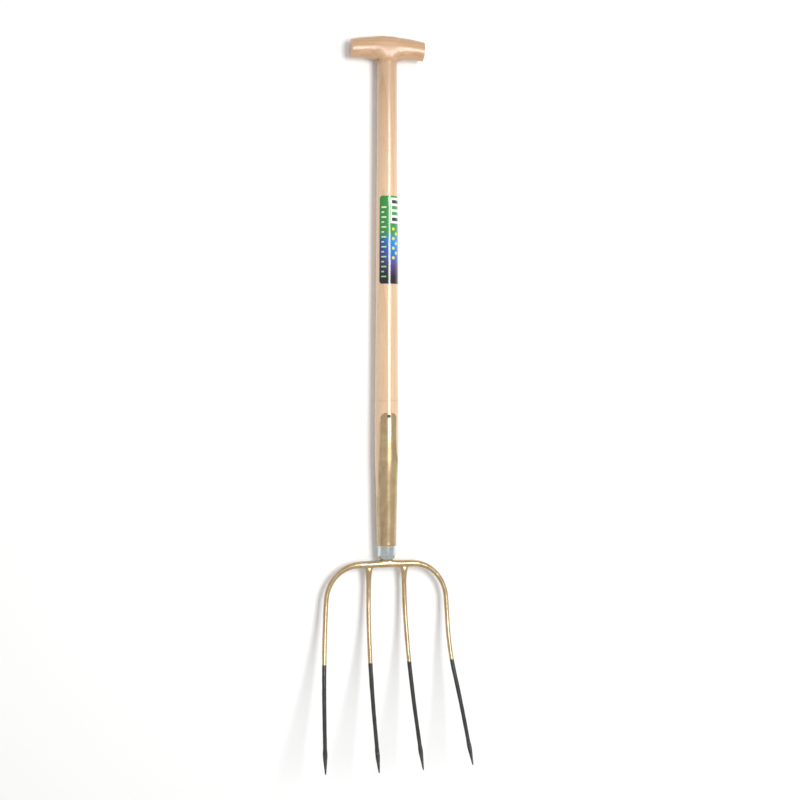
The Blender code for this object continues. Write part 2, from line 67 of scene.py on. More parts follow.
BOSS_RINGS = (               # rise above the bottom, radius along X, radius along Y
    (0.0048, BOSS_RADIUS + 0.0004, BOSS_RADIUS - 0.0002),
    (0.0022, BOSS_RADIUS, BOSS_RADIUS),
    (0.0004, BOSS_RADIUS, BOSS_RADIUS),
    (0.0, BOSS_RADIUS - 0.0001, BOSS_RADIUS - 0.0001))
FLARE_REACH = 0.0340

# Shaft
SHAFT_STATIONS = ((1.0455, 0.01475), (0.6900, 0.01675), (0.5080, 0.01805), (0.4470, 0.01805),
                  (0.4170, 0.01690), (0.3860, 0.01580), (0.3550, 0.01520), (0.3172, 0.01420))
SHAFT_WAVE = 0.00022
SHAFT_MARK_Z = 0.5385        # a thin dark ring round the shaft just above the straps
TENON_RADIUS = 0.0100
TENON_TOP_Z = 1.0862
TENON_DEPTH = 0.0160
TENON_SUNK = 0.00015         # how far the end grain lies below the grip's lacquered crown
TENON_GAP = 0.00012
WEDGE_HALF_WIDTH = 0.0093
WEDGE_THICKNESS = 0.0026
WEDGE_DEPTH = 0.0180
WEDGE_PROUD = 0.00008

# Socket, with a strap in front and one behind
SOCKET_TOP_Z = 0.5196
SOCKET_BOTTOM_Z = 0.3172
SOCKET_THICKNESS = 0.0010
SOCKET_PROUD = 0.0005
SOCKET_LIP = 0.00045
SOCKET_LIP_HEIGHT = 0.0045
SOCKET_WAVE = 0.00028
SOCKET_BEVEL = 0.00022
LIFTED_EDGE = 0.0012         # one edge of the front strap stands off the wood by this much
LIFTED_EDGE_Z = 0.4475
LIFTED_EDGE_SPAN = 0.0075
STRAP_HALF_WIDTH = 0.0122
STRAP_CORNER = 0.0080
STRAP_WIDENING = 0.36        # times the squared depth below the corners, it is the half-width gained
SIDE_GAP_TOP = 0.0134
SIDE_GAP_LOW = 0.0093
SIDE_GAP_ARCH_Z = 0.4070
SIDE_GAP_BOTTOM_Z = 0.3906
NAIL_Z = 0.5148
NAIL_HEAD = 0.0027
NAIL_HIGH = 0.0010

# Ferrule
FERRULE_RADIUS = 0.01375
FERRULE_BOTTOM_Z = 0.2960
FERRULE_WALL = 0.0016
FERRULE_LIP = 0.0014

# Forged head
BAR_Z = 0.2880
BAR_RADIUS = 0.0054
BOW_CENTRE_X = 0.0410
BOW_CENTRE_Z = 0.2315
BOW_REACH_X = 0.0937
BOW_FORWARD = 0.0026
BOW_MID_RADIUS = 0.0042
INNER_TINE_X = 0.0275
INNER_ROOTS = ((BAR_Z - 0.0085, 0.0060), (BAR_Z - 0.0125, 0.0051), (BAR_Z - 0.0180, 0.0044))
INNER_LEAN_Z = 0.2615
BAR_STATIONS = (0.0, 0.0062, 0.0105, 0.0155, 0.0215, INNER_TINE_X, 0.0335, 0.0385)
BOW_STEPS = 13
TINE_TOP_RADIUS = 0.0037
TINE_LOW_RADIUS = 0.0028
TINE_STEP = 0.0095
POINT_LENGTH = 0.0380
POINT_RADIUS = 0.0011
POINT_RIDGES = (0, 2, 4, 6)  # the ring corners that run down to the point as edges
POINT_CREASE = 0.9
INNER_LEAN = (0.0, math.radians(33.6))
OUTER_LEAN = (math.radians(5.2), math.radians(31.0))
INNER_SPLAY = math.radians(1.2)
OUTER_SPLAY = math.radians(4.1)
NECK_RADIUS = 0.0084
NECK_WEB_REACH = 0.0240
NECK_RINGS = (               # height and radius, up the neck and then the hidden tang
    (0.2953, 0.0079), (0.2975, NECK_RADIUS - 0.0003), (0.3005, NECK_RADIUS - 0.0003),
    (0.3012, 0.0050), (0.3400, 0.0042), (0.4100, 0.0026), (0.4210, 0.0020))
DIP_Z = 0.1430               # the black dip on the tines ends at this height
TINE_BEND = 0.0036           # the right outer tine is bent inwards by this much at its middle
TINE_BEND_Z = 0.1580
TINE_BEND_SPAN = 0.0520

# Label
LABEL_TOP_Z = 0.8462
LABEL_BOTTOM_Z = 0.7143
LABEL_START = math.radians(-54.0)
LABEL_WRAP = math.radians(220.0)
LABEL_CORNER = 0.0030
LABEL_PROUD = 0.00034
LABEL_THICKNESS = 0.00016

# Label print. An arc is a distance round the shaft from its front, towards +X.
PANEL_ARCS = (0.0022, 0.0300)
PANEL_HEIGHTS = (0.8050, 0.8435)
STRIPE_ARCS = (0.0045, 0.0270)
STRIPE_COUNT = 4
STRIPE_LOW_Z = 0.8085
STRIPE_PITCH = 0.0088
STRIPE_HEIGHT = 0.0050
DOT_COUNT = 7
DOT_ARCS = (0.0070, 0.0125)
DOT_TOP_Z = 0.7965
DOT_PITCH = 0.0072
DOT_RADIUS = 0.0024
TICK_COUNT = 15
TICK_START = -0.0122
TICK_ENDS = (-0.0044, -0.0078)
TICK_TOP_Z = 0.8290
TICK_SPAN = 0.1040
TICK_HALF_HEIGHT = 0.0011

# Floor, light and camera
FLOOR_HALF = 6.0
FLOOR_Z = -0.0004
WORLD_STRENGTH = 0.60
KEY_TURN = math.radians(15)  # from straight above the fork's front towards +X
KEY_REACH = 2.3
KEY_HEIGHT = 0.86            # up the shaft from the tine points
KEY_AIM_Z = 0.70
KEY_WIDTH = 0.72
KEY_LENGTH = 1.04
KEY_POWER = 35
CAMERA_LENS = 60.96          # on a sensor 36 mm wide
CAMERA_PLACE = (-0.42812, -2.01416, 0.60646)
CAMERA_YAW = math.radians(-12.565)
CAMERA_PITCH = math.radians(-1.888)
CAMERA_ROLL = math.radians(0.11)

# Colours
GRIP_PALE = (0.63, 0.405, 0.24)
GRIP_DARK = (0.44, 0.25, 0.12)
SHAFT_PALE = (0.82, 0.585, 0.385)
SHAFT_DARK = (0.62, 0.385, 0.205)
SHAFT_TOP_SHADE = (0.86, 1.02, (0.76, 0.73, 0.70))   # painted shade: from and to these heights the shaft darkens to this tint, for less light near the grip
TENON_PALE = (0.52, 0.34, 0.20)
TENON_DARK = (0.40, 0.24, 0.13)
WEDGE_PALE = (0.33, 0.19, 0.10)
WEDGE_DARK = (0.22, 0.12, 0.06)
GOLD_PALE = (0.58, 0.43, 0.235)
GOLD_DEEP = (0.39, 0.275, 0.14)
GOLD_RUN = (0.28, 0.185, 0.085)
GOLD_DUST = (0.80, 0.68, 0.47)
DIP_BLACK = (0.020, 0.019, 0.017)
DIP_GREY = (0.042, 0.040, 0.036)
BARE_STEEL = (0.23, 0.22, 0.21)
ZINC_DARK = (0.55, 0.61, 0.62)
ZINC_PALE = (0.70, 0.755, 0.76)
NAIL_STEEL = (0.10, 0.095, 0.09)
NAIL_RUST = (0.085, 0.05, 0.03)
PANEL_WHITE = (0.86, 0.87, 0.85)
STRIPE_BLACK = (0.02, 0.03, 0.03)
STRIPE_GREEN = (0.05, 0.30, 0.08)
DOT_YELLOW = (0.90, 0.72, 0.04)
TICK_TOP = (0.85, 0.86, 0.60)
TICK_FADE = (0.66, 0.24, 0.42)                  # what the lowest tick loses of that colour
# The print's ground twice: a darker left copy, painted shade of the flank away from the key light, and a lit
# right copy.
LABEL_SHADED_LEFT = (                                  # share of the way down, colour
    (0.0, (0.025, 0.24, 0.035)), (0.42, (0.03, 0.22, 0.06)), (0.52, (0.02, 0.06, 0.27)),
    (0.66, (0.04, 0.03, 0.18)), (0.80, (0.025, 0.015, 0.06)), (0.90, (0.004, 0.004, 0.007)))
LABEL_LIT_RIGHT = (
    (0.0, (0.04, 0.31, 0.05)), (0.42, (0.04, 0.30, 0.07)), (0.50, (0.0, 0.28, 0.72)),
    (0.66, (0.01, 0.17, 0.55)), (0.80, (0.08, 0.04, 0.19)), (0.92, (0.005, 0.005, 0.009)))
WOOD_ROUGHNESS = 0.34

# Mesh finish
SHARP_ANGLE = math.radians(35)                  # steeper edges than this are shaded as edges
WELD = 0.000005
FINE_WELD = 0.000002


# ---------------------------------------------------------------- mesh helpers

def add_piece(name, bm, material):
    """A mesh object from a bmesh that was built about the shaft's axis."""
    mesh = bpy.data.meshes.new(name)
    bmesh.ops.recalc_face_normals(bm, faces=bm.faces)
    bm.to_mesh(mesh)
    bm.free()
    mesh.shade_smooth()
    mesh.set_sharp_from_angle(angle=SHARP_ANGLE)
    mesh.materials.append(material)
    piece = bpy.data.objects.new(name, mesh)
    piece.matrix_world = LAY
    bpy.context.scene.collection.objects.link(piece)
    return piece


def bake(piece, move=None, sharp=SHARP_ANGLE):
    """Applies the piece's modifiers, then moves each vertex along its normal by move(point)."""
    bpy.context.view_layer.update()
    evaluated = piece.evaluated_get(bpy.context.evaluated_depsgraph_get())
    mesh = bpy.data.meshes.new_from_object(evaluated)
    piece.modifiers.clear()
    piece.data = mesh
    if move:
        shifts = [vert.normal * move(vert.co) for vert in mesh.vertices]
        for vert, shift in zip(mesh.vertices, shifts):
            vert.co += shift
    mesh.shade_smooth()
    mesh.set_sharp_from_angle(angle=sharp)
    return piece


def along(stations, z):
    """The radius at a height, between (height, radius) stations that are listed downwards."""
    if z >= stations[0][0]:
        return stations[0][1]
    for (z_high, r_high), (z_low, r_low) in zip(stations, stations[1:]):
        if z >= z_low:
            return r_low + (r_high - r_low) * (z - z_low) / (z_high - z_low)
    return stations[-1][1]


def shaft_radius(z):
    """The shaft's radius, with the corners between its tapers rounded off."""
    reach = 0.012
    return sum(along(SHAFT_STATIONS, z + reach * k) for k in (-1, -0.5, 0, 0.5, 1)) / 5


def lathe(profile, steps):
    """A turned solid from (radius, height) points; zero radii become poles."""
    bm = bmesh.new()
    rings = []
    for radius, z in profile:
        if radius == 0.0:
            rings.append([bm.verts.new((0.0, 0.0, z))])
            continue
        turns = [2 * math.pi * k / steps for k in range(steps)]
        rings.append([bm.verts.new((radius * math.cos(a), radius * math.sin(a), z)) for a in turns])
    for a, b in zip(rings, rings[1:]):
        for k in range(steps):
            m = (k + 1) % steps
            corners = [a[k % len(a)], a[m % len(a)], b[m % len(b)], b[k % len(b)]]
            unique = [v for i, v in enumerate(corners) if v not in corners[:i]]
            bm.faces.new(unique)
    return bm


def rounded(points, radius, count):
    """The profile with each inner corner replaced by a small arc-like curve."""
    smooth = [points[0]]
    for before, corner, after in zip(points, points[1:], points[2:]):
        b, c, a = Vector(before), Vector(corner), Vector(after)
        near = min(radius, (b - c).length / 2, (a - c).length / 2)
        start = c + (b - c).normalized() * near
        end = c + (a - c).normalized() * near
        for i in range(count + 1):
            t = i / count
            smooth.append(tuple((1 - t) ** 2 * start + 2 * t * (1 - t) * c + t * t * end))
    smooth.append(points[-1])
    return smooth


# ---------------------------------------------------------------- cages of eight-sided rings

# Control points whose subdivided ring passes through the wanted points.
RING_SOLVE = np.linalg.inv((4 * np.eye(8) + np.roll(np.eye(8), 1, 0) + np.roll(np.eye(8), -1, 0)) / 6)
PATCH = ((1, 0), (1, -1), (0, -1), (-1, -1), (-1, 0), (-1, 1), (0, 1), (1, 1))


def cage_ring(place, tangent, up, down, wide, roundness=2.0):
    """Eight control points round a path: index 0 lies outward, 2 behind, 4 inward and 6 in front."""
    across = (Vector((0, 1, 0)) - tangent * tangent.y).normalized()
    outward = tangent.cross(across)
    wanted = []
    for k in range(8):
        c, s = math.cos(k * math.pi / 4), math.sin(k * math.pi / 4)
        c = math.copysign(abs(c) ** (2 / roundness), c) if abs(c) > 1e-9 else 0.0
        s = math.copysign(abs(s) ** (2 / roundness), s) if abs(s) > 1e-9 else 0.0
        wanted.append(outward * c * (up if c > 0 else down) + across * s * wide)
    return [Vector(place) + Vector(row) for row in RING_SOLVE @ np.array(wanted)]


def path_tangents(places):
    """The direction at each place, from its neighbours."""
    ends = [places[0]] + list(places) + [places[-1]]
    return [(after - before).normalized() for before, after in zip(ends, ends[2:])]


def bridge(bm, near, far):
    """Quads between two rings with as many points."""
    for k in range(len(near)):
        m = (k + 1) % len(near)
        bm.faces.new((near[k], near[m], far[m], far[k]))


def add_rings(bm, rings, start=None):
    """Joins rings into a tube, from an opened patch's edge if there is one."""
    rows = [[bm.verts.new(p) for p in ring] for ring in rings]
    if start:
        bridge(bm, start, rows[0])
    for near, far in zip(rows, rows[1:]):
        bridge(bm, near, far)
    return rows


def cap(bm, ring):
    """Closes a ring with an inset ring and four quads round a middle point."""
    centre = sum((v.co for v in ring), Vector()) / len(ring)
    inner = [bm.verts.new(centre + (v.co - centre) * 0.55) for v in ring]
    bridge(bm, ring, inner)
    middle = bm.verts.new(centre)
    for k in range(0, 8, 2):
        bm.faces.new((inner[k], inner[(k + 1) % 8], inner[(k + 2) % 8], middle))


def open_patch(bm, rows, index, side):
    """Removes the four faces round one vertex and gives the hole's edge in a branch ring's order."""
    flip = 1 if side == 4 else -1
    edge = [rows[index + flip * di][(side + flip * dk) % 8] for di, dk in PATCH]
    bmesh.ops.delete(bm, geom=[rows[index][side]], context="VERTS")
    return edge


def crease_ring(bm, ring, amount):
    """Sharpens the edges round a ring."""
    layer = bm.edges.layers.float.get("crease_edge") or bm.edges.layers.float.new("crease_edge")
    members = set(ring)
    for vert in ring:
        for edge in vert.link_edges:
            if edge.other_vert(vert) in members:
                edge[layer] = amount


def crease_lines(bm, rows, indices, amount):
    """Sharpens the edges that run along a tube at these ring corners."""
    layer = bm.edges.layers.float.get("crease_edge") or bm.edges.layers.float.new("crease_edge")
    for near, far in zip(rows, rows[1:]):
        for k in indices:
            edge = bm.edges.get((near[k], far[k]))
            if edge:
                edge[layer] = amount


def subdivide(piece, levels):
    modifier = piece.modifiers.new("smooth", "SUBSURF")
    modifier.levels = levels
    modifier.render_levels = levels


# ---------------------------------------------------------------- material helpers

class Look:
    """A material and short ways to add nodes to it."""

    def __init__(self, name, colour, roughness, metallic=0.0):
        self.material = bpy.data.materials.new(name)
        self.material.use_nodes = True
        self.tree = self.material.node_tree
        self.shader = self.tree.nodes["Principled BSDF"]
        self.put("Base Color", (*colour, 1.0))
        self.put("Roughness", roughness)
        self.put("Metallic", metallic)

    def put(self, socket, value):
        if isinstance(value, bpy.types.NodeSocket):
            self.tree.links.new(value, self.shader.inputs[socket])
        else:
            self.shader.inputs[socket].default_value = value

    def node(self, kind, inputs=(), **settings):
        made = self.tree.nodes.new("ShaderNode" + kind)
        for key, value in settings.items():
            setattr(made, key, value)
        for key, value in dict(inputs).items():
            if isinstance(value, bpy.types.NodeSocket):
                self.tree.links.new(value, made.inputs[key])
            else:
                made.inputs[key].default_value = value
        return made

    def place(self, scale=(1, 1, 1), shift=(0, 0, 0)):
        """Object coordinates about the shaft's axis, scaled."""
        coordinates = self.node("TexCoord").outputs["Object"]
        moved = self.node("VectorMath", {0: coordinates, 1: shift}, operation="ADD")
        return self.node("VectorMath", {0: moved.outputs[0], 1: scale}, operation="MULTIPLY").outputs[0]

    def noise(self, vector, scale, detail=3.0, roughness=0.5, distortion=0.0):
        return self.node("TexNoise", {"Vector": vector, "Scale": scale, "Detail": detail,
                                      "Roughness": roughness, "Distortion": distortion}).outputs["Fac"]

    def height(self):
        """Height up the shaft from the tine points."""
        return self.node("SeparateXYZ", {0: self.place()}).outputs[2]

    def remap(self, value, low, high, to_low=0.0, to_high=1.0):
        return self.node("MapRange", {"Value": value, "From Min": low, "From Max": high,
                                      "To Min": to_low, "To Max": to_high}).outputs[0]

    def ramp(self, fac, *stops):
        made = self.node("ValToRGB", {"Fac": fac})
        elements = made.color_ramp.elements
        while len(elements) < len(stops):
            elements.new(0.5)
        for element, (position, colour) in zip(elements, stops):
            element.position = position
            grey = isinstance(colour, (int, float))
            element.color = (colour, colour, colour, 1.0) if grey else (*colour, 1.0)
        return made.outputs["Color"]

    def mix(self, fac, first, second, blend="MIX"):
        made = self.node("Mix", data_type="RGBA", blend_type=blend)
        for socket, value in ((made.inputs[0], fac), (made.inputs[6], first), (made.inputs[7], second)):
            if isinstance(value, bpy.types.NodeSocket):
                self.tree.links.new(value, socket)
            elif isinstance(value, tuple):
                socket.default_value = (*value, 1.0)
            else:
                socket.default_value = value
        return made.outputs[2]

    def math(self, operation, *values):
        return self.node("Math", dict(enumerate(values)), operation=operation).outputs[0]

    def bump(self, height, strength, distance):
        made = self.node("Bump", {"Height": height, "Strength": strength, "Distance": distance})
        self.tree.links.new(made.outputs["Normal"], self.shader.inputs["Normal"])


def growth_rings(look, place, stretch, centre):
    """The tree's rings round a line beside the piece, gently bent."""
    warp = look.noise(look.place(tuple(9 * s + 4 for s in stretch)), 1.0, 2.0)
    sideways = look.node("CombineXYZ", {0: warp, 1: warp, 2: 0.0}).outputs[0]
    bend = look.node("VectorMath", {0: sideways, "Scale": 0.014}, operation="SCALE").outputs[0]
    moved = look.node("VectorMath", {0: place, 1: centre}, operation="ADD").outputs[0]
    moved = look.node("VectorMath", {0: moved, 1: bend}, operation="ADD").outputs[0]
    return look.node("TexWave", {"Vector": moved, "Scale": 62.0, "Distortion": 1.2, "Detail": 2.0,
                                 "Detail Scale": 2.0}, wave_type="RINGS", rings_direction="SPHERICAL",
                     wave_profile="SAW").outputs["Fac"]


def dark_ring(look, tone, dark, mark_z):
    """A thin dark ring at a height, not quite level."""
    waver = look.math("MULTIPLY", look.noise(look.place(), 30.0), 0.004)
    gap = look.math("SUBTRACT", look.math("ADD", look.height(), waver), mark_z + 0.002)
    return look.mix(look.remap(look.math("ABSOLUTE", gap), 0.0004, 0.0016, 0.5, 0.0), tone, dark)


def wood(name, stretch, centre, pale, dark, coat, coat_roughness, fade=None, mark_z=None):
    """Lacquered straight-grained wood. stretch is the scale along X, Y and Z, small along the grain.

    fade tints it darker between two heights as painted shade, and mark_z puts a thin dark ring round it at a
    height.
    """
    look = Look(name, pale, WOOD_ROUGHNESS)
    place = look.place(stretch)
    rings = growth_rings(look, place, stretch, centre)
    fibres = look.noise(place, 1500.0, 3.0, 0.7)
    streaks = look.noise(place, 260.0, 2.0, 0.6)
    broad = look.noise(place, 45.0, 2.0)
    pores = look.noise(look.place(stretch, (0.3, 0.1, 0.2)), 2100.0, 1.0)
    pores = look.ramp(pores, (0.60, 0.0), (0.72, 1.0))
    warm = tuple(min(1.0, c * f) for c, f in zip(pale, (1.08, 0.98, 0.92)))
    tone = look.mix(look.ramp(rings, (0.0, 0.0), (0.75, 0.35), (1.0, 1.0)), pale, dark)
    tone = look.mix(look.ramp(streaks, (0.35, 0.0), (0.75, 0.6)), tone, dark)
    tone = look.mix(look.ramp(broad, (0.3, 0.0), (0.7, 0.5)), tone, warm)
    tone = look.mix(look.ramp(fibres, (0.3, 0.0), (0.8, 0.45)), tone, tuple(c * 0.78 for c in pale))
    tone = look.mix(look.math("MULTIPLY", pores, 0.35), tone, tuple(c * 0.55 for c in dark))
    if fade:
        # painted shade: darker towards the top, standing in for less light there
        tone = look.mix(look.remap(look.height(), fade[0], fade[1]), tone, fade[2], "MULTIPLY")
    if mark_z:
        tone = dark_ring(look, tone, dark, mark_z)
    look.put("Base Color", tone)
    look.put("Roughness", look.remap(fibres, 0.0, 1.0, WOOD_ROUGHNESS - 0.06, WOOD_ROUGHNESS + 0.08))
    look.put("Coat Weight", coat)
    look.put("Coat Roughness", coat_roughness)
    height = look.math("ADD", look.math("MULTIPLY", fibres, 0.5), look.math("MULTIPLY", pores, -0.6))
    look.bump(height, 0.25, 0.0002)
    return look.material


def end_grain(name, pale, dark):
    """Bare sawn wood, with rings and open pores."""
    look = Look(name, pale, 0.5)
    place = look.place((1, 1, 1), (0.03, 0.02, 0))
    rings = look.node("TexWave", {"Vector": place, "Scale": 90.0, "Distortion": 1.5, "Detail": 2.0},
                      wave_type="RINGS", rings_direction="Z").outputs["Fac"]
    pores = look.ramp(look.noise(place, 2600.0, 1.0), (0.52, 0.0), (0.66, 1.0))
    tone = look.mix(rings, pale, dark)
    look.put("Base Color", look.mix(pores, tone, tuple(c * 0.5 for c in dark)))
    look.bump(pores, 0.3, 0.0002)
    return look.material


def dipped_black(look, place, mottle):
    """The dip's black, scuffed to bare steel towards the points."""
    black = look.mix(look.ramp(mottle, (0.3, 0.0), (0.7, 1.0)), DIP_BLACK, DIP_GREY)
    bare = look.ramp(look.noise(place, 420.0, 4.0, 0.65), (0.56, 0.0), (0.62, 1.0))
    low = look.remap(look.height(), 0.045, 0.0)
    return look.mix(look.math("MULTIPLY", bare, low), black, BARE_STEEL)


def gold_paint():
    """Gold-bronze enamel with soft runs and dust in its gloss, and the black dip below."""
    look = Look("gold_enamel", GOLD_PALE, 0.3)
    place = look.place()
    runs = look.noise(look.place((1, 1, 0.22)), 140.0, 3.0, 0.55)
    mottle = look.noise(place, 55.0, 4.0, 0.6)
    dust = look.noise(place, 1900.0, 2.0, 0.7)
    gold = look.mix(look.ramp(mottle, (0.3, 0.0), (0.7, 1.0)), GOLD_PALE, GOLD_DEEP)
    gold = look.mix(look.ramp(runs, (0.55, 0.0), (0.72, 0.5)), gold, GOLD_RUN)
    gold = look.mix(look.ramp(dust, (0.62, 0.0), (0.74, 0.35)), gold, GOLD_DUST)
    wobble = look.math("MULTIPLY", look.noise(place, 260.0, 2.0), 0.0022)
    above = look.remap(look.math("ADD", look.height(), wobble), DIP_Z + 0.0009, DIP_Z + 0.0014)
    look.put("Base Color", look.mix(above, dipped_black(look, place, mottle), gold))
    look.put("Metallic", look.remap(above, 0.0, 1.0, 0.0, 0.6))
    shine = look.remap(mottle, 0.0, 1.0, 0.15, 0.28)
    look.put("Roughness", look.math("ADD", shine, look.math("MULTIPLY", dust, 0.08)))
    look.put("Coat Weight", look.remap(above, 0.0, 1.0, 0.15, 0.8))
    look.put("Coat Roughness", 0.06)
    look.bump(look.math("ADD", runs, look.math("MULTIPLY", dust, 0.06)), 0.22, 0.0006)
    return look.material


def zinc():
    """Plated steel: small crystals, and faint lines from turning."""
    look = Look("zinc", ZINC_DARK, 0.24, 1.0)
    cells = look.node("TexVoronoi", {"Vector": look.place(), "Scale": 420.0}).outputs["Color"]
    grey = look.node("SeparateColor", {0: cells}).outputs[0]
    lines = look.noise(look.place((1, 1, 30)), 60.0, 3.0)
    look.put("Base Color", look.mix(grey, ZINC_DARK, ZINC_PALE))
    look.put("Roughness", look.remap(lines, 0.0, 1.0, 0.10, 0.26))
    look.bump(lines, 0.2, 0.0002)
    return look.material


def dark_steel():
    """The nails' steel, with patches of rust."""
    look = Look("dark_steel", NAIL_STEEL, 0.42, 1.0)
    rust = look.ramp(look.noise(look.place(), 900.0, 3.0), (0.45, 0.0), (0.65, 1.0))
    look.put("Base Color", look.mix(rust, NAIL_STEEL, NAIL_RUST))
    look.put("Metallic", look.math("SUBTRACT", 1.0, rust))
    look.bump(rust, 0.3, 0.0002)
    return look.material


class Print:
    """Masks on the label, placed by arc round the shaft and height up it."""

    def __init__(self, look):
        self.look = look
        axes = look.node("SeparateXYZ", {0: look.place()}).outputs
        turn = look.math("ARCTAN2", axes[0], look.math("MULTIPLY", axes[1], -1.0))
        self.arc = look.math("MULTIPLY", turn, shaft_radius(LABEL_BOTTOM_Z))
        self.z = axes[2]

    def band(self, value, low, high, soft=0.00012):
        rise = self.look.remap(value, low - soft, low + soft)
        fall = self.look.remap(value, high - soft, high + soft, 1.0, 0.0)
        return self.look.math("MULTIPLY", rise, fall)

    def box(self, arcs, heights):
        return self.look.math("MULTIPLY", self.band(self.arc, *arcs), self.band(self.z, *heights))

    def disc(self, arc, z, radius, soft=0.0001):
        place = self.look.node("CombineXYZ", {0: self.arc, 1: self.z, 2: 0.0}).outputs[0]
        gap = self.look.node("VectorMath", {0: place, 1: (arc, z, 0.0)}, operation="DISTANCE")
        return self.look.remap(gap.outputs["Value"], radius - soft, radius + soft, 1.0, 0.0)


def label_ground(look, marks):
    """Green over blue over black, lit on the right and darker on the left as painted shade."""
    drop = look.remap(marks.z, LABEL_TOP_Z, LABEL_BOTTOM_Z)
    # painted shade: the ground turns from the shaded left copy to the lit right copy across the front
    side = look.remap(marks.arc, -0.010, 0.006)
    return look.mix(side, look.ramp(drop, *LABEL_SHADED_LEFT), look.ramp(drop, *LABEL_LIT_RIGHT))


def label_figures(look, marks, tone):
    """A pale panel with bars, a zigzag of dots and a scale of ticks."""
    tone = look.mix(marks.box(PANEL_ARCS, PANEL_HEIGHTS), tone, PANEL_WHITE)
    for k in range(STRIPE_COUNT):
        low = STRIPE_LOW_Z + k * STRIPE_PITCH
        colour = STRIPE_BLACK if k % 3 == 0 else STRIPE_GREEN
        tone = look.mix(marks.box(STRIPE_ARCS, (low, low + STRIPE_HEIGHT)), tone, colour)
    for k in range(DOT_COUNT):
        tone = look.mix(marks.disc(DOT_ARCS[k % 2], DOT_TOP_Z - DOT_PITCH * k, DOT_RADIUS), tone, DOT_YELLOW)
    for k in range(TICK_COUNT):
        share = k / (TICK_COUNT - 1)
        z = TICK_TOP_Z - TICK_SPAN * share
        tick = marks.box((TICK_START, TICK_ENDS[k % 2]), (z - TICK_HALF_HEIGHT, z + TICK_HALF_HEIGHT))
        tone = look.mix(tick, tone, tuple(c - fade * share for c, fade in zip(TICK_TOP, TICK_FADE)))
    return tone


def label_print():
    """A generic printed film, lightly scratched and not quite flat."""
    look = Look("label_print", (0.05, 0.3, 0.1), 0.22)
    marks = Print(look)
    look.put("Base Color", label_figures(look, marks, label_ground(look, marks)))
    scratch = look.noise(look.place((1, 1, 0.3)), 700.0, 3.0)
    look.put("Roughness", look.remap(scratch, 0.0, 1.0, 0.14, 0.24))
    look.put("Coat Weight", 0.55)
    look.put("Coat Roughness", 0.12)
    look.bump(look.noise(look.place(), 130.0, 2.0), 0.05, 0.0004)
    return look.material


# ---------------------------------------------------------------- T-grip

def grip_top(x):
    """Height of the arm's crowned top."""
    return GRIP_TOP_Z - GRIP_CROWN * (x / GRIP_HALF) ** 2


def grip_bottom(x):
    """The arm's underside, with the concave flare down to the boss."""
    plain = GRIP_UNDER_Z + GRIP_UNDER_ARCH * (1 - (x / GRIP_HALF) ** 2)
    reach = FLARE_REACH - BOSS_RADIUS
    inward = (FLARE_REACH - max(abs(x), BOSS_RADIUS)) / reach
    if inward <= 0:
        return plain
    high = GRIP_UNDER_Z + GRIP_UNDER_ARCH * (1 - (FLARE_REACH / GRIP_HALF) ** 2)
    low = BOSS_BOTTOM_Z + 0.0010
    return min(plain, low + (high - low) * math.sqrt(max(0.0, 1 - inward ** 2)))


def grip_rings():
    """Rings along the arm, from its -X end to its +X end."""
    rings = []
    for x in [-x for x in reversed(GRIP_STATIONS[1:])] + list(GRIP_STATIONS):
        share = abs(x) / GRIP_HALF
        joins = abs(x) < BOSS_JOIN_X
        top = grip_top(x)
        bottom = BOSS_JOIN_Z if joins else grip_bottom(x)
        middle = (top + GRIP_UNDER_Z + GRIP_UNDER_ARCH * (1 - share ** 2)) / 2
        wide = GRIP_HALF_DEPTH + (GRIP_END_HALF_DEPTH - GRIP_HALF_DEPTH) * share
        roundness = BOSS_JOIN_ROUNDNESS if joins else GRIP_ROUNDNESS
        ring = cage_ring((x, 0.0, middle), Vector((1, 0, 0)), top - middle, middle - bottom, wide, roundness)
        if x > GRIP_END_CUT_FROM:
            for point in ring:
                point.x += (point.z - middle) * math.tan(GRIP_END_CUT)
        rings.append(ring)
    return rings


def cut_tenon_hole(grip, material):
    radius = TENON_RADIUS + TENON_GAP
    high, low = GRIP_TOP_Z + 0.01, GRIP_TOP_Z - 0.02
    hole = lathe([(0.0, high), (radius, high), (radius, low), (0.0, low)], 64)
    cutter = add_piece("grip_hole", hole, material)
    cut = grip.modifiers.new("hole", "BOOLEAN")
    cut.operation = "DIFFERENCE"
    cut.object = cutter
    cut.solver = "EXACT"
    bake(grip)
    bpy.data.objects.remove(cutter)
    weld(grip, WELD)


def build_grip(material):
    """The arm, with the boss grown from a patch opened in its underside."""
    bm = bmesh.new()
    rows = add_rings(bm, grip_rings())
    edge = open_patch(bm, rows, len(GRIP_STATIONS) - 1, 4)
    down = Vector((0, 0, -1))
    boss = [cage_ring((0, 0, BOSS_BOTTOM_Z + rise), down, r, r, wide) for rise, r, wide in BOSS_RINGS]
    boss_rows = add_rings(bm, boss, edge)
    cap(bm, boss_rows[-1])
    cap(bm, rows[0])
    cap(bm, rows[-1])
    crease_ring(bm, boss_rows[-1], 0.7)
    crease_ring(bm, rows[0], 0.75)
    crease_ring(bm, rows[-1], 0.75)
    grip = add_piece("grip_wood", bm, material)
    subdivide(grip, 4)
    bake(grip, lambda p: GRIP_WAVE * noise.noise(p * 45.0))
    cut_tenon_hole(grip, material)
    return grip


def crown_surface(x, y):
    """Height of the grip's rounded top."""
    middle = (grip_top(x) + GRIP_UNDER_Z + GRIP_UNDER_ARCH) / 2
    share = max(0.0, 1 - abs(y / GRIP_HALF_DEPTH) ** GRIP_ROUNDNESS) ** (1 / GRIP_ROUNDNESS)
    return middle + (grip_top(x) - middle) * share


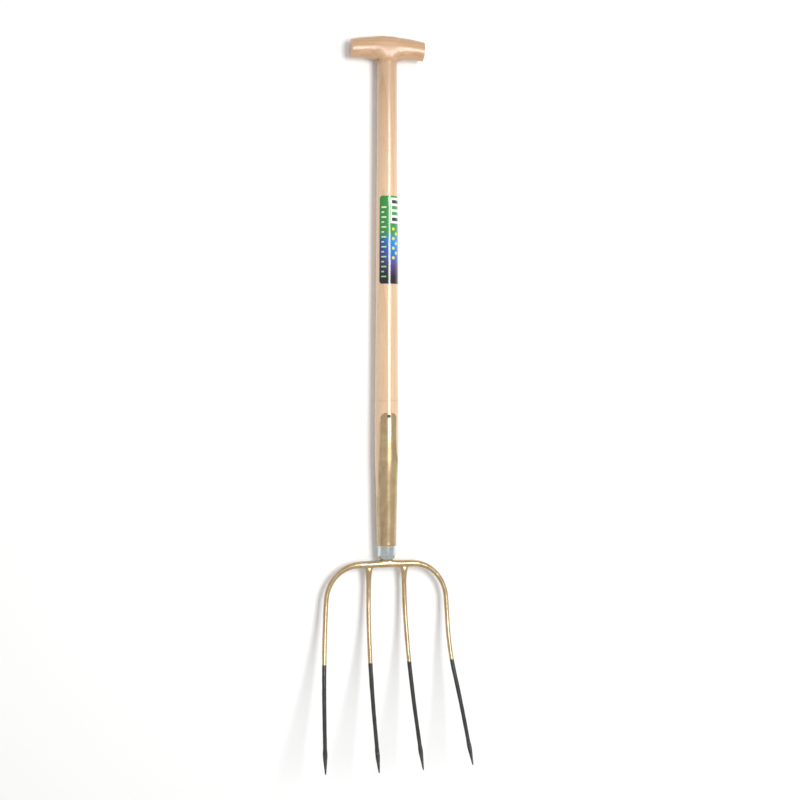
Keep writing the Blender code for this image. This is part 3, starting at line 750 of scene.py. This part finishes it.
def build_tenon(material):
    """The tenon's end, sanded to the grip's crown."""
    rims = [(TENON_RADIUS * k / 12, 0.0) for k in range(12)]
    rims += [(TENON_RADIUS - 0.00018, 0.0), (TENON_RADIUS, 0.0002), (TENON_RADIUS, TENON_DEPTH),
             (0.0, TENON_DEPTH)]
    bm = lathe([(radius, -depth) for radius, depth in rims], 64)
    for vert in bm.verts:
        if vert.co.z > -0.001:
            vert.co.z += crown_surface(vert.co.x, vert.co.y) - TENON_SUNK
        else:
            vert.co.z += TENON_TOP_Z
    return add_piece("tenon_top", bm, material)


def build_wedge(material):
    """The wedge driven across the tenon, half as thick at its foot, sanded with it."""
    bm = bmesh.new()
    count = 24
    foot = TENON_TOP_Z - WEDGE_DEPTH
    rows = []
    for i in range(count + 1):
        y = WEDGE_HALF_WIDTH * (2 * i / count - 1)
        high = crown_surface(0.0, y) - TENON_SUNK + WEDGE_PROUD
        corners = ((-1, high), (1, high), (0.5, foot), (-0.5, foot))
        rows.append([bm.verts.new((side * WEDGE_THICKNESS / 2, y, z)) for side, z in corners])
    for near, far in zip(rows, rows[1:]):
        bridge(bm, near, far)
    bm.faces.new(rows[0])
    bm.faces.new(rows[-1])
    return add_piece("grip_wedge_wood", bm, material)


# ---------------------------------------------------------------- shaft and label

def build_shaft(material):
    """The shaft, from the ferrule to the boss."""
    levels = [SOCKET_BOTTOM_Z - 0.0008, SOCKET_BOTTOM_Z - 0.0004]
    count = 150
    levels += [SOCKET_BOTTOM_Z + (BOSS_BOTTOM_Z - SOCKET_BOTTOM_Z) * k / count for k in range(count + 1)]
    profile = [(0.0, BOSS_BOTTOM_Z)] + [(shaft_radius(z), z) for z in reversed(levels)]
    profile += [(0.0, levels[0])]
    shaft = add_piece("shaft_wood", lathe(profile, 96), material)

    def worked(point):
        """Slow waves left by turning and sanding."""
        inside = BOSS_BOTTOM_Z - 0.004 > point.z > SOCKET_BOTTOM_Z + 0.003
        slow = noise.noise(Vector((point.x * 25, point.y * 25, point.z * 7)))
        return SHAFT_WAVE * slow if inside else 0.0

    return bake(shaft, worked)


def wrapped_sheet(rows, radius_at, columns):
    """A sheet round the axis. rows are (z, start angle, end angle); angles run from the front to +X."""
    bm = bmesh.new()
    grid = []
    for z, start, end in rows:
        line = []
        for k in range(columns + 1):
            angle = start + (end - start) * k / columns
            radius = radius_at(angle, z)
            line.append(bm.verts.new((radius * math.sin(angle), -radius * math.cos(angle), z)))
        grid.append(line)
    for near, far in zip(grid, grid[1:]):
        for k in range(columns):
            bm.faces.new((near[k], near[k + 1], far[k + 1], far[k]))
    return bm


def thicken(piece, thickness, bevel):
    """Gives an open sheet its thickness, inwards from the outer face that it was drawn as."""
    face = piece.data.polygons[0]
    if face.normal.xy.dot(face.center.xy) < 0:
        piece.data.flip_normals()
    solid = piece.modifiers.new("thickness", "SOLIDIFY")
    solid.thickness = thickness
    solid.offset = -1.0
    if bevel:
        edge = piece.modifiers.new("edge", "BEVEL")
        edge.width = bevel
        edge.segments = 2
        edge.limit_method = "ANGLE"
        edge.angle_limit = math.radians(50)


def build_label(material):
    """The film, with round corners and faint wrinkles."""
    rows = []
    count = 44
    for i in range(count + 1):
        z = LABEL_TOP_Z + (LABEL_BOTTOM_Z - LABEL_TOP_Z) * i / count
        inset = 0.0
        near = min(LABEL_TOP_Z - z, z - LABEL_BOTTOM_Z)
        if near < LABEL_CORNER:
            inset = LABEL_CORNER - math.sqrt(LABEL_CORNER ** 2 - (LABEL_CORNER - near) ** 2)
        turn = inset / shaft_radius(z)
        rows.append((z, LABEL_START + turn, LABEL_START + LABEL_WRAP - turn))

    def film(angle, z):
        wrinkle = noise.noise(Vector((angle * 6, z * 60, 0.0)))
        return shaft_radius(z) + LABEL_PROUD + 0.00007 * wrinkle

    label = add_piece("label_film_sheet", wrapped_sheet(rows, film, 90), material)
    thicken(label, LABEL_THICKNESS, 0.0)
    return bake(label)


# ---------------------------------------------------------------- socket, nails, ferrule

def strap_half_angle(z):
    """Half the angle that each strap covers at a height; a quarter turn where the socket is whole."""
    radius = shaft_radius(z) + SOCKET_PROUD
    if z <= SIDE_GAP_BOTTOM_Z:
        return math.pi / 2
    if z < SIDE_GAP_ARCH_Z:
        rise = (SIDE_GAP_ARCH_Z - z) / (SIDE_GAP_ARCH_Z - SIDE_GAP_BOTTOM_Z)
        gap = SIDE_GAP_LOW * math.sqrt(1 - rise ** 2)
    else:
        share = (z - SIDE_GAP_ARCH_Z) / (SOCKET_TOP_Z - SIDE_GAP_ARCH_Z)
        gap = SIDE_GAP_LOW + (SIDE_GAP_TOP - SIDE_GAP_LOW) * share
    half = math.pi / 2 - math.asin(min(1.0, gap / radius))
    corner_z = SOCKET_TOP_Z - STRAP_CORNER
    if z > corner_z:
        width = STRAP_HALF_WIDTH + math.sqrt(max(0.0, STRAP_CORNER ** 2 - (z - corner_z) ** 2)) - STRAP_CORNER
    else:
        width = STRAP_HALF_WIDTH + STRAP_WIDENING * (corner_z - z) ** 2
    return min(half, math.asin(min(1.0, width / radius)))


def socket_levels():
    """Heights of the sheet's rows, closer together in the side gaps' arches and the round corners."""
    plain = [SOCKET_BOTTOM_Z + 0.0032 * k for k in range(23)]
    levels = [z for z in plain if z < SIDE_GAP_BOTTOM_Z - 0.0010] + [SIDE_GAP_BOTTOM_Z]
    arch = SIDE_GAP_ARCH_Z - SIDE_GAP_BOTTOM_Z
    levels += [SIDE_GAP_BOTTOM_Z + arch * (1 - math.cos(math.pi / 2 * k / 8)) for k in range(1, 9)]
    corner_z = SOCKET_TOP_Z - STRAP_CORNER
    straight = 34
    levels += [SIDE_GAP_ARCH_Z + (corner_z - SIDE_GAP_ARCH_Z) * k / straight for k in range(1, straight + 1)]
    levels += [corner_z + STRAP_CORNER * math.sin(math.pi / 2 * k / 8) for k in range(1, 9)]
    return levels


def socket_surface(angle, z):
    """Outer radius of the steel: it follows the wood, with small hammered waves and one lifted edge."""
    radius = shaft_radius(z) + SOCKET_PROUD
    lip = max(0.0, 1 - (z - SOCKET_BOTTOM_Z) / SOCKET_LIP_HEIGHT)
    radius += SOCKET_LIP * lip ** 2
    side = math.sin(angle)
    wave = noise.noise(Vector((side * 2.2, math.cos(angle) * 2.2, z * 34)))
    radius += SOCKET_WAVE * wave
    front = math.cos(angle) > 0
    if front and z > SIDE_GAP_ARCH_Z:
        edge = angle / strap_half_angle(z)
        lifted = max(0.0, edge - 0.35) / 0.65
        radius += LIFTED_EDGE * lifted ** 2 * math.exp(-((z - LIFTED_EDGE_Z) / LIFTED_EDGE_SPAN) ** 2)
        radius += 0.0003 * max(0.0, abs(edge) - 0.6)
    return radius


def half_ring(centre, half, z, columns):
    """Points of one strap, or one half of the whole socket, at a height."""
    line = []
    for k in range(columns + 1):
        angle = centre - half + 2 * half * k / columns
        radius = socket_surface(angle, z)
        line.append((radius * math.sin(angle), -radius * math.cos(angle), z))
    return line


def build_socket(material):
    """One rolled sheet: whole at the bottom, and parted into a front and a back strap above."""
    columns = 36
    bm = bmesh.new()
    grid = []
    for z in socket_levels():
        half = strap_half_angle(z)
        front = [bm.verts.new(p) for p in half_ring(0.0, half, z, columns)]
        back_line = half_ring(math.pi, half, z, columns)
        if z <= SIDE_GAP_BOTTOM_Z:
            back = [front[-1]] + [bm.verts.new(p) for p in back_line[1:-1]] + [front[0]]
        else:
            back = [bm.verts.new(p) for p in back_line]
        grid.append((front, back))
    for (front_a, back_a), (front_b, back_b) in zip(grid, grid[1:]):
        for near, far in ((front_a, front_b), (back_a, back_b)):
            for k in range(columns):
                corners = [near[k], near[k + 1], far[k + 1], far[k]]
                bm.faces.new([v for i, v in enumerate(corners) if v not in corners[:i]])
    socket = add_piece("socket_steel", bm, material)
    thicken(socket, SOCKET_THICKNESS, SOCKET_BEVEL)
    return bake(socket, sharp=math.radians(60))


def build_nail(name, side, material):
    """A domed head with a short shank, on the front (side -1) or the back (side 1)."""
    head, high = NAIL_HEAD, NAIL_HIGH
    profile = [(0.0, high), (head * 0.35, high * 0.97), (head * 0.68, high * 0.82), (head * 0.9, high * 0.55),
               (head, high * 0.25), (head * 0.96, 0.0), (0.0011, -0.0002), (0.0010, -0.008), (0.0, -0.010)]
    nail = add_piece(name, lathe(profile, 32), material)
    seat = shaft_radius(NAIL_Z) + SOCKET_PROUD - 0.0001
    tilt = Matrix.Rotation(-side * math.pi / 2, 4, "X") @ Matrix.Rotation(math.radians(3), 4, "Y")
    nail.data.transform(Matrix.Translation((0.0003 * side, side * seat, NAIL_Z)) @ tilt)
    bake(nail, lambda p: 0.00012 * noise.noise(p * 700))
    return nail


def build_ferrule(material):
    """A turned collar, its lower end drawn in round the neck."""
    top = SOCKET_BOTTOM_Z - 0.0003
    inner = FERRULE_RADIUS - FERRULE_WALL
    outline = [(inner, top - 0.0010), (inner + 0.0002, top), (FERRULE_RADIUS + 0.0002, top),
               (FERRULE_RADIUS, top - 0.0022), (FERRULE_RADIUS, FERRULE_BOTTOM_Z + 0.0048),
               (0.0120, FERRULE_BOTTOM_Z + 0.0008), (0.0094, FERRULE_BOTTOM_Z),
               (NECK_RADIUS, FERRULE_BOTTOM_Z + 0.0006), (NECK_RADIUS, FERRULE_BOTTOM_Z + 0.0016),
               (0.0118, FERRULE_BOTTOM_Z + 0.0035), (inner, FERRULE_BOTTOM_Z + 0.0060)]
    profile = rounded(outline + outline[:2], FERRULE_LIP, 5)[1:-1]
    ferrule = add_piece("ferrule_zinc", lathe(profile, 96), material)
    weld(ferrule, FINE_WELD)
    return bake(ferrule, lambda p: 0.00010 * noise.noise(p * 120), math.radians(50))


def weld(piece, distance):
    """Merges points that lie closer together than this."""
    bm = bmesh.new()
    bm.from_mesh(piece.data)
    bmesh.ops.remove_doubles(bm, verts=bm.verts, dist=distance)
    bmesh.ops.recalc_face_normals(bm, faces=bm.faces)
    bm.to_mesh(piece.data)
    bm.free()


# ---------------------------------------------------------------- forged head

def lean_path(start, lean, splay):
    """Runs down from start, leaning ever further forward, until its blunt point rests at Z = 0."""
    def walk(length):
        count = round(length / TINE_STEP)
        step = length / count
        places = [Vector(start)]
        for i in range(count):
            angle = lean[0] + (lean[1] - lean[0]) * (1 - (1 - (i + 0.5) / count) ** 2)
            drop = math.cos(angle) * step
            places.append(places[-1] + Vector((math.tan(splay) * drop, -math.sin(angle) * step, -drop)))
        return places

    rest_z = POINT_RADIUS * math.sin(lean[1])
    short, long = start[2], 1.5 * start[2]
    for _ in range(30):
        middle = (short + long) / 2
        if walk(middle)[-1].z > rest_z:
            short = middle
        else:
            long = middle
    return walk(long)


def tine_rings(places, first_radius, tangents=None):
    """Rings down a tine: round, tapering, then a four-sided point with a ridge front and back."""
    tangents = tangents or path_tangents(places)
    lengths = [0.0]
    for a, b in zip(places, places[1:]):
        lengths.append(lengths[-1] + (b - a).length)
    total = lengths[-1]
    rings, point_from = [], None
    for i, (place, tangent, travelled) in enumerate(zip(places, tangents, lengths)):
        radius = first_radius + (TINE_LOW_RADIUS - first_radius) * travelled / total
        left = total - travelled
        wide, deep, roundness = radius, radius, 2.0
        if left < POINT_LENGTH:
            share = left / POINT_LENGTH
            if point_from is None:
                point_from = i
            swell = 1 + 0.55 * math.sin(math.pi * share) * share
            wide = (POINT_RADIUS * 0.8 + (radius - POINT_RADIUS * 0.8) * share) * swell
            deep = (POINT_RADIUS * 0.8 + (radius - POINT_RADIUS * 0.8) * share) * 1.05
            roundness = 1.25 + 0.75 * max(0.0, share * 4 - 3)
        rings.append(cage_ring(place, tangent, wide, wide, deep, roundness))
    return rings, point_from


def web_height(x):
    """Height of the bar's top above its middle, with the concave flare up to the neck."""
    top = FERRULE_BOTTOM_Z - 0.0003 - BAR_Z
    low = BAR_RADIUS
    inward = (NECK_WEB_REACH - max(abs(x), NECK_RADIUS)) / (NECK_WEB_REACH - NECK_RADIUS)
    if inward <= 0:
        return low
    return low + (top - low) * (1 - math.sqrt(max(0.0, 1 - inward ** 2)))


def bent_inwards(point):
    """The right outer tine's slight bend from use, widest just above the dip."""
    share = math.exp(-((point.z - TINE_BEND_Z) / TINE_BEND_SPAN) ** 2)
    return point - Vector((TINE_BEND * share, 0.0, 0.0))


def bow_path():
    """Places and radii from the bar's middle along it and round the right bow to the outer tine."""
    places = [Vector((x, 0.0, BAR_Z)) for x in BAR_STATIONS]
    radii = [BAR_RADIUS for _ in BAR_STATIONS]
    span_x = BOW_REACH_X - BOW_CENTRE_X
    span_z = BAR_Z - BOW_CENTRE_Z
    for k in range(1, BOW_STEPS + 1):
        share = k / BOW_STEPS
        angle = math.pi / 2 + (OUTER_SPLAY - math.pi / 2) * share
        z = BOW_CENTRE_Z + span_z * math.sin(angle)
        fall = (BAR_Z - z) / (span_z * (1 - math.sin(OUTER_SPLAY)))
        places.append(Vector((BOW_CENTRE_X + span_x * math.cos(angle), -BOW_FORWARD * fall ** 2, z)))
        radii.append(BAR_RADIUS + (BOW_MID_RADIUS - BAR_RADIUS) * min(1.0, share * 2.2)
                     + (TINE_TOP_RADIUS - BOW_MID_RADIUS) * share)
    return places, radii


def right_rings():
    """Rings from the bar's middle to the right outer point, and the index where the point begins."""
    places, radii = bow_path()
    tine = lean_path(places[-1], OUTER_LEAN, OUTER_SPLAY)
    tangents = path_tangents(places + tine[1:])
    rings = []
    for place, tangent, radius in zip(places[:-1], tangents, radii):
        up = web_height(place.x) if place.x < NECK_WEB_REACH else radius
        rings.append(cage_ring(place, tangent, up, radius, radius))
    tine_part, point_from = tine_rings(tine, TINE_TOP_RADIUS, tangents[len(places) - 1:])
    return rings + tine_part, len(rings) + point_from


def add_inner_tine(bm, rows, index, side):
    """An inner tine, grown from a patch opened in the bar's underside."""
    edge = open_patch(bm, rows, index, 4)
    down = Vector((0, 0, -1))
    root = [cage_ring((side * INNER_TINE_X, 0.0, z), down, r, r, r) for z, r in INNER_ROOTS]
    path = lean_path((INNER_TINE_X, 0.0, INNER_LEAN_Z), INNER_LEAN, INNER_SPLAY)
    tine, point_from = tine_rings([Vector((side * p.x, p.y, p.z)) for p in path], TINE_TOP_RADIUS)
    tine_rows = add_rings(bm, root + tine, edge)
    crease_lines(bm, tine_rows[len(root) + point_from - 1:], POINT_RIDGES, POINT_CREASE)
    cap(bm, tine_rows[-1])


def forged(point):
    """Hammer marks on the steel and soft beads in the thick paint above the dip."""
    marks = noise.noise(point * 85.0) * 0.00018
    drawn = noise.noise(Vector((point.x * 60, point.y * 60, point.z * 22))) * 0.00016
    bead = noise.noise(Vector((point.x * 130, point.y * 130, point.z * 75)))
    painted = 1.0 if point.z > DIP_Z else 0.25
    edge = math.exp(-((point.z - DIP_Z - 0.0010) / 0.0012) ** 2) * 0.00012
    return marks + drawn + painted * 0.0005 * max(0.0, bead - 0.30) - edge


def build_head(material):
    """One forging: the bar with its bows and outer tines, then the inner tines, the neck and the tang."""
    right, point_from = right_rings()
    left = [[Vector((-p.x, p.y, p.z)) for p in ring] for ring in reversed(right[1:])]
    straight = len(BAR_STATIONS)
    right = right[:straight] + [[bent_inwards(p) for p in ring] for ring in right[straight:]]
    bm = bmesh.new()
    rows = add_rings(bm, left + right)
    centre = len(left)
    for part in (rows[centre + point_from - 1:], rows[:centre - point_from + 2]):
        crease_lines(bm, part, POINT_RIDGES, POINT_CREASE)
    cap(bm, rows[0])
    cap(bm, rows[-1])
    inner = BAR_STATIONS.index(INNER_TINE_X)
    for side in (-1, 1):
        add_inner_tine(bm, rows, centre + side * inner, side)
    edge = open_patch(bm, rows, centre, 0)
    neck = [cage_ring((0, 0, z), Vector((0, 0, 1)), r, r, r) for z, r in NECK_RINGS]
    cap(bm, add_rings(bm, neck, edge)[-1])
    head = add_piece("head_forging", bm, material)
    subdivide(head, 3)
    return bake(head, forged, math.radians(28))


# ---------------------------------------------------------------- stage, light and camera

def area_light(name, place, aim, width, height, power):
    """A rectangular light, its height along the shaft. place and aim are about the shaft's axis."""
    light = bpy.data.lights.new(name, "AREA")
    light.shape = "RECTANGLE"
    light.size = width
    light.size_y = height
    light.energy = power
    obj = bpy.data.objects.new(name, light)
    turn = (Vector(aim) - Vector(place)).to_track_quat("-Z", "Y").to_matrix().to_4x4()
    obj.matrix_world = LAY @ Matrix.Translation(place) @ turn
    bpy.context.scene.collection.objects.link(obj)


def build_stage():
    look = Look("floor_white", (0.97, 0.97, 0.965), 0.9)
    mesh = bpy.data.meshes.new("studio_floor")
    corners = [(x * FLOOR_HALF, y * FLOOR_HALF, FLOOR_Z) for x, y in ((-1, -1), (1, -1), (1, 1), (-1, 1))]
    mesh.from_pydata(corners, [], [(0, 1, 2, 3)])
    mesh.materials.append(look.material)
    floor = bpy.data.objects.new("studio_floor", mesh)
    bpy.context.scene.collection.objects.link(floor)


def build_light():
    world = bpy.data.worlds.new("studio")
    world.use_nodes = True
    background = world.node_tree.nodes["Background"]
    background.inputs["Color"].default_value = (1.0, 1.0, 1.0, 1.0)
    background.inputs["Strength"].default_value = WORLD_STRENGTH
    bpy.context.scene.world = world
    bpy.context.scene.view_settings.view_transform = "Standard"
    place = (KEY_REACH * math.sin(KEY_TURN), -KEY_REACH * math.cos(KEY_TURN), KEY_HEIGHT)
    area_light("key_box", place, (0, 0, KEY_AIM_Z), KEY_WIDTH, KEY_LENGTH, KEY_POWER)


def build_camera():
    camera = bpy.data.cameras.new("camera")
    camera.sensor_width = 36.0
    camera.lens = CAMERA_LENS
    camera.clip_start = 0.01
    camera.clip_end = 50.0
    obj = bpy.data.objects.new("camera", camera)
    place = Matrix.Translation(CAMERA_PLACE)
    turn = Matrix.Rotation(CAMERA_YAW, 4, "Z")
    tilt = Matrix.Rotation(math.pi / 2 + CAMERA_PITCH, 4, "X")
    roll = Matrix.Rotation(CAMERA_ROLL, 4, "Z")
    obj.matrix_world = LAY @ place @ turn @ tilt @ roll
    bpy.context.scene.collection.objects.link(obj)
    bpy.context.scene.camera = obj


# ---------------------------------------------------------------- assembly

grip_look = wood("lacquered_grip", (0.05, 1, 1), (0.0, 0.03, -1.045), GRIP_PALE, GRIP_DARK, 0.35, 0.13)
shaft_look = wood("lacquered_shaft", (1, 1, 0.05), (0.045, 0.05, 0.0), SHAFT_PALE, SHAFT_DARK, 0.9, 0.14,
                  SHAFT_TOP_SHADE, SHAFT_MARK_Z)
end_look = end_grain("tenon_end_grain", TENON_PALE, TENON_DARK)
wedge_look = end_grain("wedge_end_grain", WEDGE_PALE, WEDGE_DARK)
gold_look = gold_paint()
steel_look = dark_steel()

tenon_top = build_tenon(end_look)
wedge_piece = build_wedge(wedge_look)
placed = [
    (build_grip(grip_look), ("t_grip",), "grip_wood"),
    (wedge_piece, ("grip_wedge",), "wedge_wood"),
    (tenon_top, (), "shaft_wood"),
    (build_shaft(shaft_look), ("shaft",), "shaft_wood"),
    (build_label(label_print()), ("shaft_label",), "label_film"),
    (build_socket(gold_look), ("strap_socket",), "gold_paint"),
    (build_nail("front_nail", -1, steel_look), ("front_strap_nail",), "nail_steel"),
    (build_nail("back_nail", 1, steel_look), ("back_strap_nail",), "nail_steel"),
    (build_ferrule(zinc()), ("ferrule",), "zinc_plate"),
    (build_head(gold_look), ("fork_head",), "gold_paint"),
]
for piece, nodes, slot in placed:
    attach(piece, "root")
    if nodes:
        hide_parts(*nodes)

build_stage()
build_light()
build_camera()
